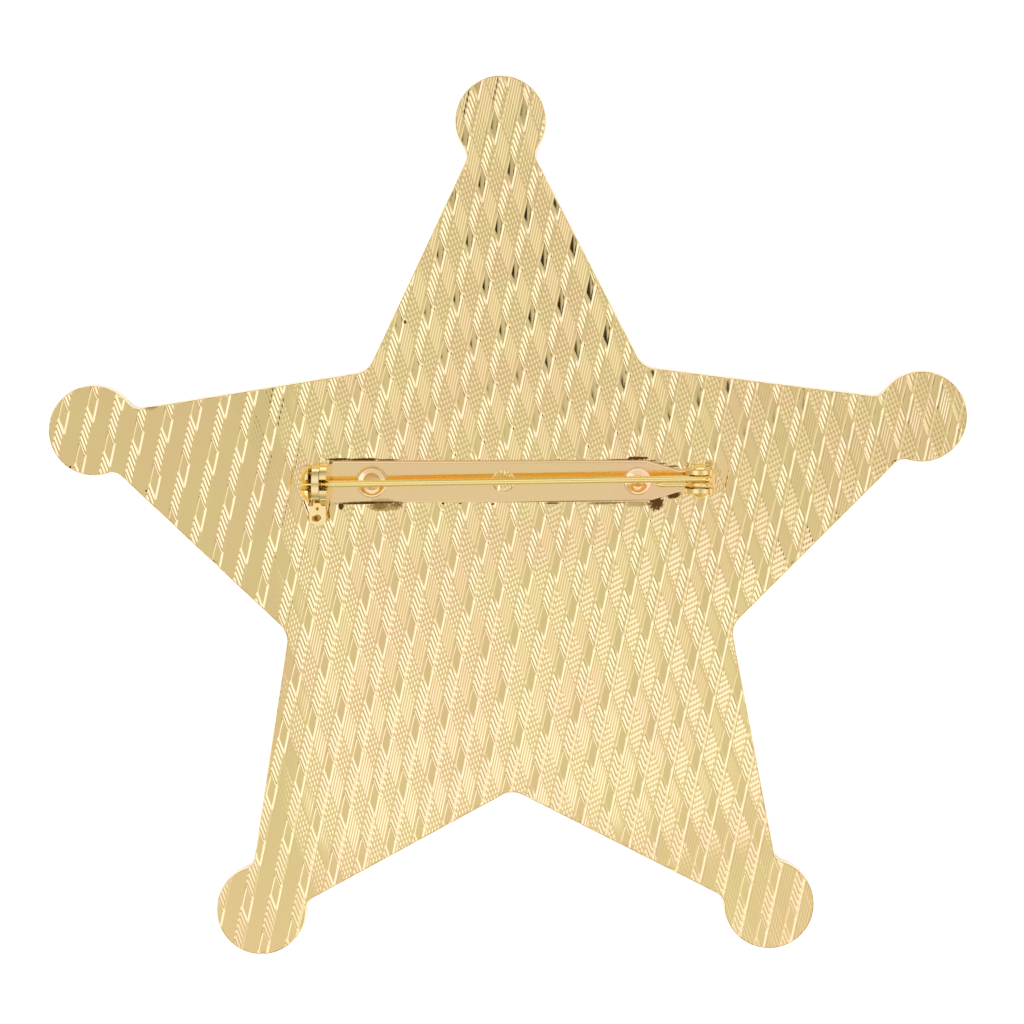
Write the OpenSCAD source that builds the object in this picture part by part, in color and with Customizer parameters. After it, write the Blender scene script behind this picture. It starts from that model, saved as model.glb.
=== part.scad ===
// Five-pointed star badge with ball tips, seen with its front down and its pin back up.
// The front face lies in z = 0, the star's centre is at x = y = 0 and its top arm points along +Y.
// All lengths are in millimetres.

/* [Star] */
// Overall width, across the balls of the two side arms
badge_w = 76.2; // [60:0.1:100]
// Thickness of the plate
plate_t = 1.2; // [0.8:0.05:3]
// Diameter of the ball at the tip of each arm
ball_d = 7.48; // [6:0.02:10]
// Half the angle between the straight sides of an arm, in degrees
arm_half_angle = 26.2; // [23:0.1:30]
// How far past the ball's centre the straight sides of an arm would meet
sides_past_ball = 2.69; // [1.6:0.01:4]
// Radius in the inner corner between two arms
corner_r = 1.8; // [0.5:0.1:4]
// Radius where the side of an arm runs into its ball
neck_r = 1; // [0.4:0.1:2]

/* [Pin bar] */
// Height of the bar's middle above the star's centre
bar_y = 6.4; // [4:0.1:9]
// Turn of the bar against the star, in degrees
bar_turn = -0.8; // [-3:0.1:3]
// Width of the bar
bar_w = 3.48; // [3:0.02:5]
// Thickness of the bar's strip
bar_t = 0.5; // [0.3:0.05:1]
// Width of the bar where its taper ends at the hinge
bar_neck_w = 1.9; // [1.4:0.05:2.6]
// Distance from the hinge axis to where the taper starts
taper_far = 4.35; // [3.4:0.05:6]
// Distance from the hinge axis to where the taper ends
taper_near = 1.75; // [1.2:0.05:2.6]
// Diameter of the hole in the middle of the bar
bar_hole_d = 1.8; // [1:0.1:2.6]
// Place of that hole along the bar
bar_hole_x = -0.25; // [-3:0.05:3]
// Place of the raised ring near the catch, along the bar
catch_ring_x = -11.2; // [-12.5:0.05:-8]
// Outer diameter of that ring
catch_ring_d = 2.7; // [2.2:0.05:3]
// Diameter of the hollow in that ring
catch_ring_hollow_d = 1.4; // [0.8:0.05:1.6]
// Place of the raised ring near the hinge, along the bar
hinge_ring_x = 10.85; // [8:0.05:10.95]
// Outer diameter of that ring
hinge_ring_d = 2.35; // [2:0.05:2.6]
// Diameter of the hollow in that ring
hinge_ring_hollow_d = 0.95; // [0.6:0.05:1.3]
// Height of a raised ring above the bar
ring_h = 0.2; // [0.1:0.02:0.3]
// Depth of the hollow in the middle of a raised ring
ring_hollow_depth = 0.15; // [0.05:0.01:0.25]

/* [Hinge] */
// Place of the hinge axis along the bar
hinge_x = 15.93; // [14.8:0.01:20]
// Height of the hinge axis above the bar
hinge_h = 1.4; // [1.3:0.05:2]
// Thickness of an ear
ear_t = 0.36; // [0.3:0.02:0.5]
// Radius of an ear's round top
ear_r = 1.2; // [1.1:0.01:1.3]
// How far the pad under the hinge reaches beyond the ears, all round
pad_rim = 0.12; // [0.06:0.02:0.3]
// Radius of the pad's two outer corners
pad_corner_r = 0.45; // [0.2:0.05:0.8]
// Diameter of the rivet
rivet_d = 0.95; // [0.7:0.01:1.05]
// Diameter of the rivet's domed heads
rivet_head_d = 1.6; // [1.3:0.05:2]
// Height of a domed head
rivet_head_h = 0.4; // [0.2:0.05:0.6]

/* [Pin] */
// Diameter of the wire in the coil and in the spring tail
wire_d = 0.5; // [0.42:0.02:0.54]
// Diameter of the pin's straight shank
shank_d = 0.56; // [0.5:0.02:0.6]
// How far the pin's point reaches past the middle of the catch
tip_past_catch = 1.35; // [1.1:0.05:2]
// Length of the pin's tapered point
point_l = 2.9; // [2.8:0.1:6]
// Diameter at the very tip
tip_d = 0.1; // [0.06:0.02:0.2]
// Angle of the wire that turns round the rivet, in degrees
coil_angle = 276; // [272:1:282]
// Length over which the wire thickens from the coil to the shank
neck_l = 1.5; // [1.4:0.1:3]
// Place along the bar where the end of the spring tail rests
tail_end_x = 12.25; // [12.2:0.05:13]

/* [Catch] */
// Place of the catch's middle along the bar
catch_x = -15.62; // [-19:0.01:-14.6]
// Sideways place of the catch's middle, across the bar
catch_y = -0.15; // [-0.25:0.01:0.25]
// Height of the catch's axis above the bar
catch_h = 1.7; // [1.65:0.05:2.2]
// Radius of the fixed cheeks
cheek_r = 1.68; // [1.5:0.02:1.68]
// Thickness of the flat cheek, on the hinge's side
flat_cheek_t = 0.56; // [0.5:0.02:1]
// Thickness of the domed cheek, at the pin's point
domed_cheek_t = 0.9; // [0.7:0.02:1.2]
// Gap between the band and the domed cheek
domed_cheek_gap = 0.26; // [0.06:0.02:0.4]
// Width of the foot under the cheeks
cheek_foot_w = 2.7; // [2:0.1:3]
// Width of the slot in a cheek that the pin drops into
cheek_slot_w = 0.92; // [0.8:0.02:1]
// Radius of the turning band
band_r = 1.55; // [1.4:0.01:1.6]
// Width of the turning band
band_w = 0.6; // [0.5:0.02:0.8]
// Radius of the hubs that hold the band in the cheeks
hub_r = 0.98; // [0.9:0.01:1.05]
// Depth of the bore in a cheek that holds a hub
hub_bore_l = 0.3; // [0.2:0.02:0.36]
// Radius of the channel that the pin lies in
channel_r = 0.46; // [0.42:0.01:0.55]
// Direction of the band's mouth while locked, in degrees up from +Y
mouth_angle = 162; // [150:1:165]
// Direction of the lever while locked, in degrees up from +Y
lever_angle = 200; // [196:1:205]
// Distance from the catch's axis to the middle of the lever's round end
lever_l = 2.9; // [2.7:0.05:3.4]
// Clearance between the cheeks and the lever's broad part
lever_clear = 0.15; // [0.1:0.01:0.4]
// Radius of the lever's round end, half the width of its broad part
lever_end_r = 0.7; // [0.5:0.02:0.8]
// Thickness of the lever
lever_t = 0.4; // [0.3:0.02:0.5]
// Diameter of the dimple in the lever's round end
dimple_d = 0.56; // [0.3:0.02:0.8]
// Depth of that dimple
dimple_depth = 0.2; // [0.05:0.01:0.25]
// Diameter of the small hole in the lever
lever_hole_d = 0.3; // [0.2:0.02:0.4]
// Distance from the catch's axis to that hole
lever_hole_l = 2.1; // [2.05:0.01:2.2]

/* [Gaps] */
// Radial clearance of the coil on the rivet and of the hubs in the cheeks
running_gap = 0.05; // [0.02:0.005:0.08]
// Clearance at the sides of pieces that move past each other
side_gap = 0.06; // [0.04:0.01:0.1]
// Gap between pieces that are fastened together
seat_gap = 0.02; // [0.01:0.005:0.04]

/* [Hidden] */
$fn = 96;
gold = [0.86, 0.73, 0.45];
gold_wire = [0.90, 0.74, 0.36];
gold_catch = [0.93, 0.83, 0.58];

arms = 5;
corner_angle = 180 / arms;
ball_r = ball_d / 2;
ball_at = (badge_w / 2 - ball_r) / cos(90 - 360 / arms);
point_at = ball_at + sides_past_ball;
// Inner corner of the star, in an arm's own frame: u along the arm, w across it
corner_u = point_at * tan(arm_half_angle) / (tan(arm_half_angle) + tan(corner_angle));
corner = [corner_u, corner_u * tan(corner_angle)];
// Unit vectors along the side of an arm, towards its tip, and square to it, outwards
side_dir = [cos(arm_half_angle), -sin(arm_half_angle)];
side_out = [sin(arm_half_angle), cos(arm_half_angle)];
// The corner's arc is centred on the line between two arms
corner_dir = [cos(corner_angle), sin(corner_angle)];
corner_centre = corner_dir * (corner_r + corner * side_out) / (corner_dir * side_out);
corner_foot = corner_centre - corner_r * side_out;
// The neck's arc touches the side of the arm and the ball
neck_start = corner + neck_r * side_out - [ball_at, 0];
neck_along = neck_start * side_dir;
neck_root = sqrt(neck_along ^ 2 - neck_start * neck_start + (ball_r + neck_r) ^ 2);
neck_centre = corner + neck_r * side_out - (neck_along + neck_root) * side_dir;
neck_foot = neck_centre - neck_r * side_out;
neck_to_ball = [ball_at, 0] - neck_centre;
neck_touch = neck_centre + neck_r * neck_to_ball / norm(neck_to_ball);

wire_r = wire_d / 2;
shank_r = shank_d / 2;
turn_gap = seat_gap * 2;
coil_inner_r = rivet_d / 2 + running_gap;
coil_mean_r = coil_inner_r + wire_r;
turn_y = (wire_d + turn_gap) / 2;
ear_in = wire_d + turn_gap / 2 + side_gap;
ear_out = ear_in + ear_t;
pad_l = ear_r + pad_rim;
pad_w = 2 * (ear_out + pad_rim);
// Inner and outer faces of the two cheeks, from the band's middle
flat_in = band_w / 2 + side_gap;
flat_out = flat_in + flat_cheek_t;
domed_in = band_w / 2 + domed_cheek_gap;
domed_out = domed_in + domed_cheek_t;
// The pin runs from the top of its turn round the rivet to the middle of the catch
pin_reach = hinge_x - catch_x;
pin_aim = norm([pin_reach, catch_h - hinge_h]);
pin_pitch = asin(coil_mean_r / pin_aim) - atan((catch_h - hinge_h) / pin_reach);
pin_yaw = atan((turn_y - catch_y) / pin_reach);
pin_l = sqrt(pin_aim ^ 2 - coil_mean_r ^ 2) + tip_past_catch;
// The tail leaves the bottom of its turn and dips until it lies on the bar
tail_l = hinge_x - tail_end_x;
tail_dip = asin((hinge_h - coil_mean_r - wire_r - seat_gap) / tail_l);
cut = 1;

// Carries its children onto the top of the plate, in line with the bar
module on_bar() {
    translate([0, bar_y, plate_t]) rotate([0, 0, bar_turn]) children();
}

module at_hinge() {
    on_bar() translate([hinge_x, 0, bar_t + hinge_h]) children();
}

module at_catch() {
    on_bar() translate([catch_x, catch_y, bar_t + catch_h]) children();
}

// Cylinders along X and along Y, centred on the origin
module x_cylinder(r, h) {
    rotate([0, 90, 0]) cylinder(r = r, h = h, center = true);
}

module y_cylinder(r, h) {
    rotate([90, 0, 0]) cylinder(r = r, h = h, center = true);
}

// One arm from the star's centre to its ball, with half of its two inner corners
module arm() {
    polygon([[0, 0], corner, [point_at, 0], [corner.x, -corner.y]]);
    translate([ball_at, 0]) circle(r = ball_r);
    for (side = [1, -1]) scale([1, side]) difference() {
        polygon([neck_foot, neck_centre, neck_touch, [ball_at, 0]]);
        translate(neck_centre) circle(r = neck_r);
    }
}

// Fills the corner between two arms up to its arc
module corner_web() {
    far_foot = 2 * (corner_foot * corner_dir) * corner_dir - corner_foot;
    difference() {
        polygon([[0, 0], corner_foot, corner_centre, far_foot]);
        translate(corner_centre) circle(r = corner_r);
    }
}

module star() {
    linear_extrude(plate_t) for (k = [0 : arms - 1]) rotate(90 + k * 360 / arms) {
        arm();
        corner_web();
    }
}

// Square towards the bar, with two round corners at its far end
module hinge_pad() {
    corner_x = pad_l - pad_corner_r;
    corner_y = pad_w / 2 - pad_corner_r;
    translate([-pad_l, -pad_w / 2]) square([pad_l + corner_x, pad_w]);
    translate([0, -corner_y]) square([pad_l, 2 * corner_y]);
    for (side = [1, -1]) translate([corner_x, side * corner_y]) circle(r = pad_corner_r);
}

module bar_outline() {
    difference() {
        union() {
            polygon([
                [catch_x - domed_out, cheek_foot_w / 2], [catch_x + flat_out, cheek_foot_w / 2],
                [catch_x + flat_out, bar_w / 2], [hinge_x - taper_far, bar_w / 2],
                [hinge_x - taper_near, bar_neck_w / 2], [hinge_x, bar_neck_w / 2],
                [hinge_x, -bar_neck_w / 2], [hinge_x - taper_near, -bar_neck_w / 2],
                [hinge_x - taper_far, -bar_w / 2], [catch_x + flat_out, -bar_w / 2],
                [catch_x + flat_out, -cheek_foot_w / 2], [catch_x - domed_out, -cheek_foot_w / 2]]);
            translate([hinge_x, 0]) hinge_pad();
        }
        translate([bar_hole_x, 0]) circle(d = bar_hole_d);
    }
}

module bar_strip() {
    difference() {
        linear_extrude(bar_t) bar_outline();
        translate([catch_ring_x, 0, bar_t - ring_hollow_depth]) cylinder(d = catch_ring_hollow_d, h = cut);
        translate([hinge_ring_x, 0, bar_t - ring_hollow_depth]) cylinder(d = hinge_ring_hollow_d, h = cut);
    }
}

// A bead round a hollow: the cap of a circle, carried round
module raised_ring(d, hollow_d) {
    half_w = (d - hollow_d) / 4;
    bead_r = (half_w ^ 2 + ring_h ^ 2) / (2 * ring_h);
    rotate_extrude() intersection() {
        translate([hollow_d / 2 + half_w, ring_h - bead_r]) circle(r = bead_r);
        translate([hollow_d / 2, -bar_t / 2]) square([2 * half_w, bar_t / 2 + ring_h]);
    }
}

module ear(side) {
    difference() {
        union() {
            translate([0, side * (ear_in + ear_out) / 2, 0]) y_cylinder(ear_r, ear_t);
            translate([-ear_r, side > 0 ? ear_in : -ear_out, -hinge_h - bar_t / 2])
                cube([2 * ear_r, ear_t, hinge_h + bar_t / 2]);
        }
        y_cylinder(rivet_d / 2 + seat_gap, 2 * ear_out + cut);
    }
}

// The foot of a cheek that stands between two places along the catch's axis
module cheek_foot(from, thick) {
    translate([from, -cheek_foot_w / 2 - catch_y, -catch_h - bar_t / 2])
        cube([thick, cheek_foot_w, catch_h / 2 + bar_t / 2]);
}

// What is cut from both cheeks: the slot for the pin, open at the top, and the bores for the hubs
module cheek_cuts() {
    far = domed_out + flat_out;
    x_cylinder(cheek_slot_w / 2, 2 * far);
    translate([-far, -cheek_slot_w / 2, 0]) cube([2 * far, cheek_slot_w, 2 * cheek_r]);
    translate([-domed_in - hub_bore_l, 0, 0]) rotate([0, 90, 0])
        cylinder(r = hub_r + running_gap, h = domed_in + flat_in + 2 * hub_bore_l);
}

module cheeks() {
    dome_r = (cheek_r ^ 2 + domed_cheek_t ^ 2) / (2 * domed_cheek_t);
    difference() {
        union() {
            translate([flat_in, 0, 0]) rotate([0, 90, 0]) cylinder(r = cheek_r, h = flat_cheek_t);
            cheek_foot(flat_in, flat_cheek_t);
            intersection() {
                translate([dome_r - domed_out, 0, 0]) sphere(r = dome_r);
                translate([-domed_out - cut, 0, 0]) rotate([0, 90, 0])
                    cylinder(r = cheek_r + cut, h = domed_cheek_t + cut);
            }
            cheek_foot(-domed_in - domed_cheek_t / 2, domed_cheek_t / 2);
        }
        cheek_cuts();
    }
}

// The plate and everything soldered to it
module star_and_pin_bar() {
    color(gold) {
        star();
        on_bar() bar_strip();
        on_bar() translate([catch_ring_x, 0, bar_t]) raised_ring(catch_ring_d, catch_ring_hollow_d);
        on_bar() translate([hinge_ring_x, 0, bar_t]) raised_ring(hinge_ring_d, hinge_ring_hollow_d);
        for (side = [1, -1]) at_hinge() ear(side);
        at_catch() cheeks();
    }
}

module hinge_rivet() {
    head_r = rivet_head_d / 2;
    dome_r = (head_r ^ 2 + rivet_head_h ^ 2) / (2 * rivet_head_h);
    head_at = ear_out + seat_gap;
    color(gold) at_hinge() {
        y_cylinder(rivet_d / 2, 2 * head_at + rivet_head_h);
        for (side = [1, -1]) rotate([-90 * side, 0, 0]) translate([0, 0, head_at]) intersection() {
            translate([0, 0, rivet_head_h - dome_r]) sphere(r = dome_r);
            cylinder(r = head_r + cut, h = rivet_head_h + cut);
        }
    }
}

// One turn of wire round the Y axis, from its top and over the +X side
module turn(from_angle) {
    rotate([90, 0, 0]) rotate([0, 0, from_angle - coil_angle]) rotate_extrude(angle = coil_angle)
        translate([coil_mean_r, 0]) circle(r = wire_r);
}

module pin_stem() {
    color(gold_wire) at_hinge() translate([0, turn_y, 0]) rotate([0, -pin_pitch, pin_yaw]) {
        turn(90);
        translate([0, 0, coil_mean_r]) rotate([0, -90, 0]) {
            cylinder(r1 = wire_r, r2 = shank_r, h = neck_l);
            translate([0, 0, neck_l]) cylinder(r = shank_r, h = pin_l - neck_l - point_l);
            translate([0, 0, pin_l - point_l]) cylinder(r1 = shank_r, r2 = tip_d / 2, h = point_l);
        }
    }
}

module spring_tail() {
    color(gold_wire) at_hinge() translate([0, -turn_y, 0]) rotate([0, -tail_dip, 0]) {
        turn(-90 + coil_angle);
        translate([0, 0, -coil_mean_r]) rotate([0, -90, 0]) cylinder(r = wire_r, h = tail_l);
    }
}

// The lever that stands out from the band, along +Y before it is turned
module lever() {
    broad_from = cheek_r + lever_clear;
    difference() {
        linear_extrude(lever_t, center = true) difference() {
            union() {
                translate([-band_w / 2, channel_r]) square([band_w, lever_l - channel_r]);
                translate([-lever_end_r, broad_from]) square([2 * lever_end_r, lever_l - broad_from]);
                translate([0, lever_l]) circle(r = lever_end_r);
            }
            translate([0, lever_hole_l]) circle(d = lever_hole_d);
        }
        translate([0, lever_l, -lever_t / 2 - cut]) cylinder(d = dimple_d, h = dimple_depth + cut);
    }
}

// The band that turns in the cheeks and closes over the pin, with its lever
module catch_lever() {
    from = -domed_in - hub_bore_l + side_gap;
    upto = flat_in + hub_bore_l - side_gap;
    color(gold_catch) at_catch() difference() {
        union() {
            x_cylinder(band_r, band_w);
            translate([from, 0, 0]) rotate([0, 90, 0]) cylinder(r = hub_r, h = upto - from);
            rotate([lever_angle, 0, 0]) lever();
        }
        x_cylinder(channel_r, 2 * (upto - from));
        rotate([mouth_angle, 0, 0]) translate([from - cut, 0, -channel_r])
            cube([upto - from + 2 * cut, 2 * band_r, 2 * channel_r]);
    }
}

star_and_pin_bar();
hinge_rivet();
pin_stem();
spring_tail();
catch_lever();
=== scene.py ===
from math import asin, atan, atan2, cos, hypot, pi, radians, sin, sqrt, tan

import bmesh
import bpy
import numpy as np
from mathutils import Matrix, Vector
from mathutils.geometry import delaunay_2d_cdt


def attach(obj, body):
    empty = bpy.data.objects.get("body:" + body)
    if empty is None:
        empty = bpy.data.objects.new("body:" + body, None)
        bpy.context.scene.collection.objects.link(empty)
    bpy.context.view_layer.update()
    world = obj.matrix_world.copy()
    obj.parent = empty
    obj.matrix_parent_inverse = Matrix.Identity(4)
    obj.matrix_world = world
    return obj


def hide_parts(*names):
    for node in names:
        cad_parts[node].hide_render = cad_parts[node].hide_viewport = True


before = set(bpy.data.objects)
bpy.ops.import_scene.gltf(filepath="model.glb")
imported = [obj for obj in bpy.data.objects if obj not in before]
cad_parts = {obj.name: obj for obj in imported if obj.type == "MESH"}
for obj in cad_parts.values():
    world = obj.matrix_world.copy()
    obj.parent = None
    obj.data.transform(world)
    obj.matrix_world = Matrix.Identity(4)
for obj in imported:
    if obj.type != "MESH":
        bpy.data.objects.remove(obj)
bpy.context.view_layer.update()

# Lengths are in millimetres until a mesh is made. The star's centre is x = y = 0, and its front is at z = 0.
mm = 0.001
# clearances: round what turns, beside it, and under what rests
gap = dict(running=0.05, side=0.06, seat=0.02)
# carved pieces: how many faces round an edge off, and the angle in degrees from which it is sharp
carvedEdge = dict(segments=3, angle=35)


# Mesh tools: a chunk is (points, [index arrays]), and chunks are welded where their points meet.

def turned(axis, angle):
    # the matrix that turns by an angle in degrees about an axis
    return np.array(Matrix.Rotation(radians(angle), 3, axis))


def placed(chunk, matrix=None, at=(0, 0, 0)):
    # matrix p + at, for each point p
    points, faces = chunk
    return (points @ matrix.T if matrix is not None else points) + np.array(at, float), faces


def onBar(chunk):
    # from the bar's own place, where its underside is z = 0, to the badge's
    return placed(chunk, turned("Z", bar["turn"]), (0, bar["y"], star["thick"]))


def atHinge(chunk):
    return onBar(placed(chunk, None, (hinge["x"], 0, bar["thick"] + hinge["height"])))


def atCatch(chunk):
    return onBar(placed(chunk, None, (catch["x"], catch["y"], bar["thick"] + catch["height"])))


def gridOf(rows):
    # rows[i, j] is a point: each row closes on itself, and quads join neighbours in i and j
    n, m = rows.shape[:2]
    index = np.arange(n * m).reshape(n, m)
    index = np.hstack([index, index[:, :1]])
    quads = np.stack([index[:-1, :-1], index[:-1, 1:], index[1:, 1:], index[1:, :-1]], -1)
    return rows.reshape(-1, 3), [quads.reshape(-1, 4)]


def lathe(profile, count=64):
    # (r cos t, r sin t, z) for each (r, z) of the profile and t all round
    r, z = np.array(profile, float).T
    t = np.linspace(0, 2 * pi, count, endpoint=False)
    return gridOf(np.stack([r[:, None] * np.cos(t), r[:, None] * np.sin(t), z[:, None] + 0 * t], -1))


def tube(path, radii, side, count=24):
    # path + r (cos t side + sin t up), closed at both ends by a point
    path = np.array(path, float)
    along = np.gradient(path, axis=0)
    along /= np.linalg.norm(along, axis=1)[:, None]
    side = np.array(side, float) - along * (along @ np.array(side, float))[:, None]
    side /= np.linalg.norm(side, axis=1)[:, None]
    up = np.cross(along, side)
    t = np.linspace(0, 2 * pi, count, endpoint=False)
    ring = np.cos(t)[None, :, None] * side[:, None] + np.sin(t)[None, :, None] * up[:, None]
    rows = path[:, None] + radii[:, None, None] * ring
    ends = np.repeat(path[[0, -1], None], count, 1)
    return gridOf(np.concatenate([ends[:1], rows, ends[1:]]))


def welded(chunks, step=2e-4):
    # points that round to the same step are one, and a quad that loses a corner becomes a triangle
    points = np.vstack([c[0] for c in chunks])
    start = np.cumsum([0] + [len(c[0]) for c in chunks])
    steps = np.round(points / step).astype(np.int64)
    first, index = np.unique(steps, axis=0, return_index=True, return_inverse=True)[1:]
    index = index.ravel()
    triangles, quads = [np.zeros((0, 3), int)], [np.zeros((0, 4), int)]
    for (_, faces), s in zip(chunks, start):
        for f in faces:
            f = index[f + s]
            same = f == np.roll(f, -1, 1)
            (quads if f.shape[1] == 4 else triangles).append(f[~same.any(1)])
            if f.shape[1] == 4:
                one = same.sum(1) == 1
                triangles.append(f[one][~same[one]].reshape(-1, 3))
    return points[first], np.vstack(triangles), np.vstack(quads)


def solid(chunks):
    # one closed chunk, for carving
    points, triangles, quads = welded(chunks)
    return points, [f for f in (triangles, quads) if len(f)]


def meshOf(name, chunks, material):
    # the chunks as one mesh with its faces outwards
    points, triangles, quads = welded(chunks)
    mesh = bpy.data.meshes.new(name)
    mesh.from_pydata((points * mm).tolist(), [], triangles.tolist() + quads.tolist())
    work = bmesh.new()
    work.from_mesh(mesh)
    bmesh.ops.recalc_face_normals(work, faces=work.faces)
    work.to_mesh(mesh)
    work.free()
    mesh.polygons.foreach_set("use_smooth", np.ones(len(mesh.polygons), bool))
    mesh.materials.append(material)
    return mesh


def addObject(name, data):
    made = bpy.data.objects.new(name, data)
    bpy.context.scene.collection.objects.link(made)
    return made


def addPiece(name, mesh, body, sharp):
    # a piece whose edges are sharp from an angle in degrees, or all smooth where sharp is 0
    if sharp:
        mesh.set_sharp_from_angle(angle=radians(sharp))
    piece = addObject(name, mesh)
    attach(piece, body)
    print("piece", name, len(mesh.polygons), "faces")
    return piece


def carved(name, add, cut, body, material, slot, bevel):
    # the union of the closed chunks in add, less those in cut, with its edges rounded
    tools = [addObject("tool", meshOf("tool", [chunk], material)) for chunk in add + cut]
    base = tools[0]
    for k, tool in enumerate(tools[1:], 1):
        step = base.modifiers.new("cut%d" % k, "BOOLEAN")
        step.operation = "UNION" if k < len(add) else "DIFFERENCE"
        step.solver = "EXACT"
        step.object = tool
    bpy.context.view_layer.update()
    mesh = bpy.data.meshes.new_from_object(base.evaluated_get(bpy.context.evaluated_depsgraph_get()))
    mesh.name = name
    for tool in tools:
        bpy.data.meshes.remove(tool.data)
    mesh.polygons.foreach_set("use_smooth", np.ones(len(mesh.polygons), bool))
    piece = addPiece(name, mesh, body, carvedEdge["angle"])
    edge = piece.modifiers.new("edge", "BEVEL")
    edge.width = bevel * mm
    edge.segments = carvedEdge["segments"]
    edge.limit_method = "ANGLE"
    edge.angle_limit = radians(carvedEdge["angle"])
    edge.harden_normals = True
    return piece


def arc(centre, r, start, end, count):
    # centre + r (cos t, sin t) for t from start to end in degrees, and the direction (cos t, sin t)
    t = np.radians(np.linspace(start, end, count))
    return np.c_[centre[0] + r * np.cos(t), centre[1] + r * np.sin(t)], np.c_[np.cos(t), np.sin(t)]


def circle(count=64):
    # (cos t, sin t) all round
    t = np.linspace(0, 2 * pi, count, endpoint=False)
    return np.c_[np.cos(t), np.sin(t)]


def level(flat, z):
    # a row of points (x, y, z) over flat ones
    return np.c_[flat, np.full(len(flat), z)]


def inside(points, loops):
    # even-odd rule over closed loops
    odd = np.zeros(len(points), bool)
    x, y = points.T
    for loop in loops:
        for (x0, y0), (x1, y1) in zip(loop, np.roll(loop, -1, 0)):
            if y0 != y1:
                odd ^= ((y0 > y) != (y1 > y)) & (x < (x1 - x0) * (y - y0) / (y1 - y0) + x0)
    return odd


def filled(loops, inner=np.zeros((0, 2)), edges=()):
    # triangles between closed loops, through the inner points and edges
    points = np.vstack(list(loops) + [inner])
    start = np.cumsum([0] + [len(loop) for loop in loops])
    lines = []
    for loop, s in zip(loops, start):
        k = np.arange(len(loop))
        lines.append(np.c_[s + k, s + (k + 1) % len(loop)])
    if len(edges):
        lines.append(np.array(edges) + start[-1])
    out = delaunay_2d_cdt([Vector(p) for p in points.tolist()], np.vstack(lines).tolist(), [], 0, 1e-7)
    flat = np.array([(p.x, p.y) for p in out[0]])
    faces = np.array(out[2])
    return flat, faces[inside(flat[faces].mean(1), loops)]


def loopDistance(points, loop, batch=2000):
    # place along a closed loop of the point of it that lies nearest, a batch of points at a time
    side = np.roll(loop, -1, 0) - loop
    length = np.hypot(*side.T)
    start = np.concatenate([[0], np.cumsum(length)[:-1]])
    place = np.zeros(len(points))
    for some in np.array_split(np.arange(len(points)), max(1, len(points) // batch)):
        v = points[some, None] - loop
        t = np.clip((v * side).sum(2) / length**2, 0, 1)
        best = ((v - t[..., None] * side) ** 2).sum(2).argmin(1)
        place[some] = start[best] + t[np.arange(len(some)), best] * length[best]
    return place


def zipped(a, b, placeA, placeB):
    # triangles between two closed rings of points, sorted by their place along the loop
    orderA, orderB = np.argsort(placeA), np.argsort(placeB)
    place = np.concatenate([placeA[orderA], placeB[orderB]])
    isA = np.concatenate([np.ones(len(a), bool), np.zeros(len(b), bool)])[np.argsort(place, kind="stable")]
    lastA, lastB = (np.cumsum(isA) - 1) % len(a), (np.cumsum(~isA) - 1) % len(b)
    before = np.where(isA, (lastA - 1) % len(a), (lastB - 1) % len(b))
    indexA, indexB = orderA, orderB + len(a)
    triangles = np.where(isA[:, None], np.c_[indexA[before % len(a)], indexA[lastA], indexB[lastB]],
                         np.c_[indexA[lastA], indexB[lastB], indexB[before % len(b)]])
    return np.vstack([a, b]), [triangles]


# Materials

def fed(tree, kind, settings=None, **sockets):
    # a node with its settings, and its inputs by name or number (i0, i1...), each a value or another's output
    made = tree.nodes.new(kind)
    for key, value in (settings or {}).items():
        setattr(made, key, value)
    for key, value in sockets.items():
        socket = made.inputs[int(key[1:]) if key[1:].isdigit() else key.replace("_", " ")]
        if isinstance(value, bpy.types.NodeSocket):
            tree.links.new(value, socket)
        else:
            socket.default_value = value
    return made


def calc(tree, operation, *values):
    # one step of arithmetic on up to three values
    inputs = {"i%d" % k: value for k, value in enumerate(values)}
    return fed(tree, "ShaderNodeMath", dict(operation=operation), **inputs).outputs[0]


def vector(tree, operation, first, second=(0, 0, 0)):
    made = fed(tree, "ShaderNodeVectorMath", dict(operation=operation), i0=first, i1=second)
    return made.outputs["Value" if operation in ("LENGTH", "DISTANCE") else "Vector"]


def noise(tree, place, scale, detail, rough):
    made = fed(tree, "ShaderNodeTexNoise", Vector=place, Scale=scale, Detail=detail, Roughness=rough)
    return made.outputs["Fac"]


def mapped(tree, value, low, high, start=0.0, end=1.0):
    # start up to low, end from high on, and a smooth step between
    return fed(tree, "ShaderNodeMapRange", dict(interpolation_type="SMOOTHSTEP"), Value=value,
               From_Min=low, From_Max=high, To_Min=start, To_Max=end).outputs["Result"]


def makeGroup(name, inputs, outputs):
    group = bpy.data.node_groups.new(name, "ShaderNodeTree")
    for title, kind, value in inputs:
        socket = group.interface.new_socket(title, in_out="INPUT", socket_type="NodeSocket" + kind)
        if value is not None:
            socket.default_value = value
    for title, kind in outputs:
        group.interface.new_socket(title, in_out="OUTPUT", socket_type="NodeSocket" + kind)
    return group, group.nodes.new("NodeGroupInput").outputs, group.nodes.new("NodeGroupOutput").inputs


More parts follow.
